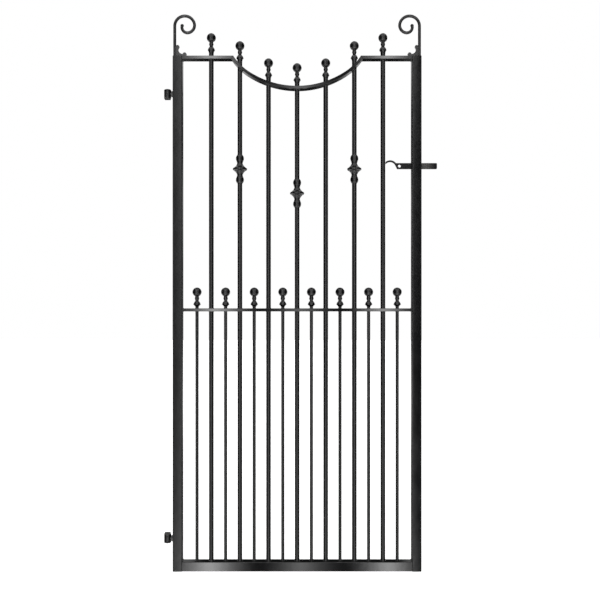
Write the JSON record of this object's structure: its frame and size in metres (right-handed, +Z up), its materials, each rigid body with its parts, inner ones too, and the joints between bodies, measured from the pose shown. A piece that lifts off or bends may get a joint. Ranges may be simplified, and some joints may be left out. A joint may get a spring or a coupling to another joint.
{
  "type": "garden gate",
  "caption": "Tall black steel side gate with upright bars, a scooped top rail, ball finials and corner scrolls, hung on eye bolts and held shut by a lift latch.",
  "frame": {"origin": "middle of the leaf's underside: half way between the stiles' outer faces and half way through their depth", "axes": "+X from the hinge side to the latch side, +Y from the front to the back, +Z up"},
  "size_m": [0.925, 0.0482, 1.8842],
  "materials": {
    "frame_coat": "gloss satin black powder coat on steel box and flat bar",
    "bar_coat": "gloss satin black powder coat on round steel bar",
    "casting_coat": "satin black powder coat on steel castings",
    "hardware_coat": "satin black coat on hinge fittings",
    "latch_coat": "gloss satin black powder coat on flat bar, worn where it slides",
    "pin_steel": "dark greased steel"
  },
  "bodies": {
    "post_fittings": {"upper_hinge_bracket": "hardware_coat", "lower_hinge_bracket": "hardware_coat", "upper_hinge_pin": "pin_steel", "lower_hinge_pin": "pin_steel"},
    "leaf": {"hinge_stile": "frame_coat", "latch_stile": "frame_coat", "stile_top_caps": "frame_coat", "stile_bottom_caps": "frame_coat", "bottom_rail": "frame_coat", "mid_rail": "frame_coat", "top_rail_hinge_side": "frame_coat", "top_rail_latch_side": "frame_coat", "top_rail_scoop": "frame_coat", "long_bar_1": "bar_coat", "long_bar_2": "bar_coat", "long_bar_3": "bar_coat", "long_bar_4": "bar_coat", "long_bar_5": "bar_coat", "long_bar_6": "bar_coat", "long_bar_7": "bar_coat", "dog_bar_1": "bar_coat", "dog_bar_2": "bar_coat", "dog_bar_3": "bar_coat", "dog_bar_4": "bar_coat", "dog_bar_5": "bar_coat", "dog_bar_6": "bar_coat", "dog_bar_7": "bar_coat", "dog_bar_8": "bar_coat", "long_bar_finial_1": "casting_coat", "long_bar_finial_2": "casting_coat", "long_bar_finial_3": "casting_coat", "long_bar_finial_4": "casting_coat", "long_bar_finial_5": "casting_coat", "long_bar_finial_6": "casting_coat", "long_bar_finial_7": "casting_coat", "dog_bar_finial_1": "casting_coat", "dog_bar_finial_2": "casting_coat", "dog_bar_finial_3": "casting_coat", "dog_bar_finial_4": "casting_coat", "dog_bar_finial_5": "casting_coat", "dog_bar_finial_6": "casting_coat", "dog_bar_finial_7": "casting_coat", "dog_bar_finial_8": "casting_coat", "knuckle_bar_2": "casting_coat", "knuckle_bar_4": "casting_coat", "knuckle_bar_6": "casting_coat", "scroll_hinge_side": "bar_coat", "scroll_latch_side": "bar_coat", "scroll_cusp_hinge_side": "casting_coat", "scroll_cusp_latch_side": "casting_coat", "upper_eye_bolt": "hardware_coat", "lower_eye_bolt": "hardware_coat", "eye_bolt_lock_nuts": "hardware_coat", "eye_bolt_weld_nuts": "hardware_coat", "latch_pivot_pin": "pin_steel"},
    "latch": {"latch_bar": "latch_coat"}
  },
  "joints": [
    {"name": "gate_swing", "type": "hinge", "parent": "post_fittings", "child": "leaf", "pos_m": [-0.439, 0, 1.614], "axis": [0, 0, -1], "range_deg": [0, 110]},
    {"name": "latch_lift", "type": "hinge", "parent": "leaf", "child": "latch", "pos_m": [0.396, 0, 1.37], "axis": [0, -1, 0], "range_deg": [0, 12]}
  ]
}
